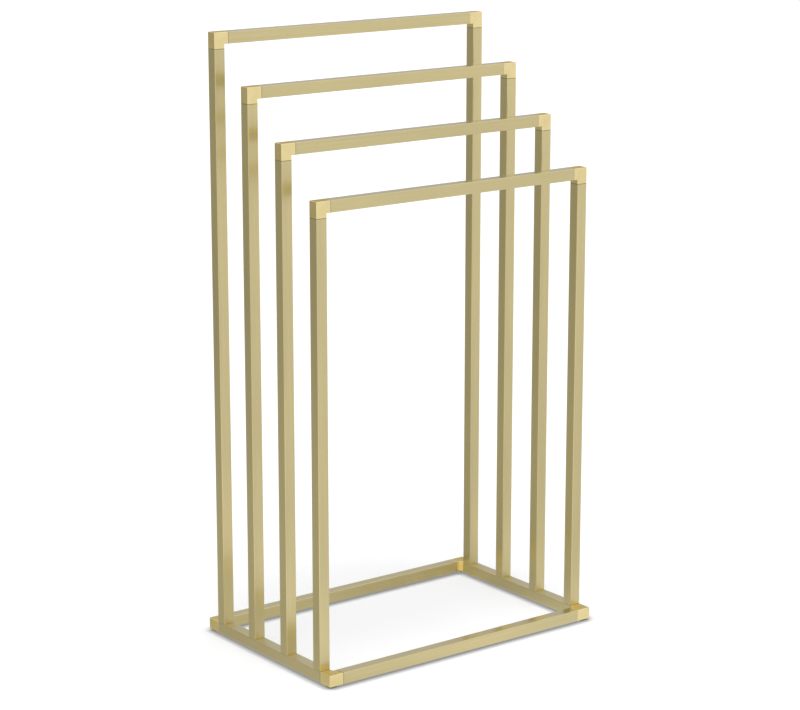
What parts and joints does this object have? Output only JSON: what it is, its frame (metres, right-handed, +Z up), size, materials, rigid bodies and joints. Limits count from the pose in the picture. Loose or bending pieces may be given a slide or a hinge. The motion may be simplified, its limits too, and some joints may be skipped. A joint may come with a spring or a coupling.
{
  "type": "freestanding towel stand",
  "caption": "Freestanding towel stand: nested upright frames of square gold tube, each taller than the one in front, on a rectangular floor base.",
  "frame": {"origin": "on the floor, at the middle of the base", "axes": "+Z up, +X to the right seen from the front, +Y to the back, towards the tallest frame"},
  "size_m": [0.45, 0.288, 0.834],
  "materials": {
    "tube_gold": "satin",
    "elbow_gold": "satin",
    "pad_rubber": "matte",
    "plug_plastic": "matte",
    "screw_steel": "satin"
  },
  "bodies": {
    "root": {"base_front_rail": "tube_gold", "base_front_left_elbow": "elbow_gold", "base_front_left_foot_pad": "pad_rubber", "base_front_right_elbow": "elbow_gold", "base_front_right_foot_pad": "pad_rubber", "base_rear_rail": "tube_gold", "base_rear_left_elbow": "elbow_gold", "base_rear_left_foot_pad": "pad_rubber", "base_rear_right_elbow": "elbow_gold", "base_rear_right_foot_pad": "pad_rubber", "base_left_rail": "tube_gold", "base_right_rail": "tube_gold", "front_towel_bar": "tube_gold", "front_left_post": "tube_gold", "front_left_top_elbow": "elbow_gold", "front_left_post_plug": "plug_plastic", "front_right_post": "tube_gold", "front_right_top_elbow": "elbow_gold", "front_right_post_plug": "plug_plastic", "second_towel_bar": "tube_gold", "second_left_post": "tube_gold", "second_left_top_elbow": "elbow_gold", "second_left_post_plug": "plug_plastic", "second_right_post": "tube_gold", "second_right_top_elbow": "elbow_gold", "second_right_post_plug": "plug_plastic", "third_towel_bar": "tube_gold", "third_left_post": "tube_gold", "third_left_top_elbow": "elbow_gold", "third_left_post_plug": "plug_plastic", "third_right_post": "tube_gold", "third_right_top_elbow": "elbow_gold", "third_right_post_plug": "plug_plastic", "rear_towel_bar": "tube_gold", "rear_left_post": "tube_gold", "rear_left_top_elbow": "elbow_gold", "rear_left_post_plug": "plug_plastic", "rear_right_post": "tube_gold", "rear_right_top_elbow": "elbow_gold", "rear_right_post_plug": "plug_plastic", "post_screws": "screw_steel"}
  },
  "joints": []
}
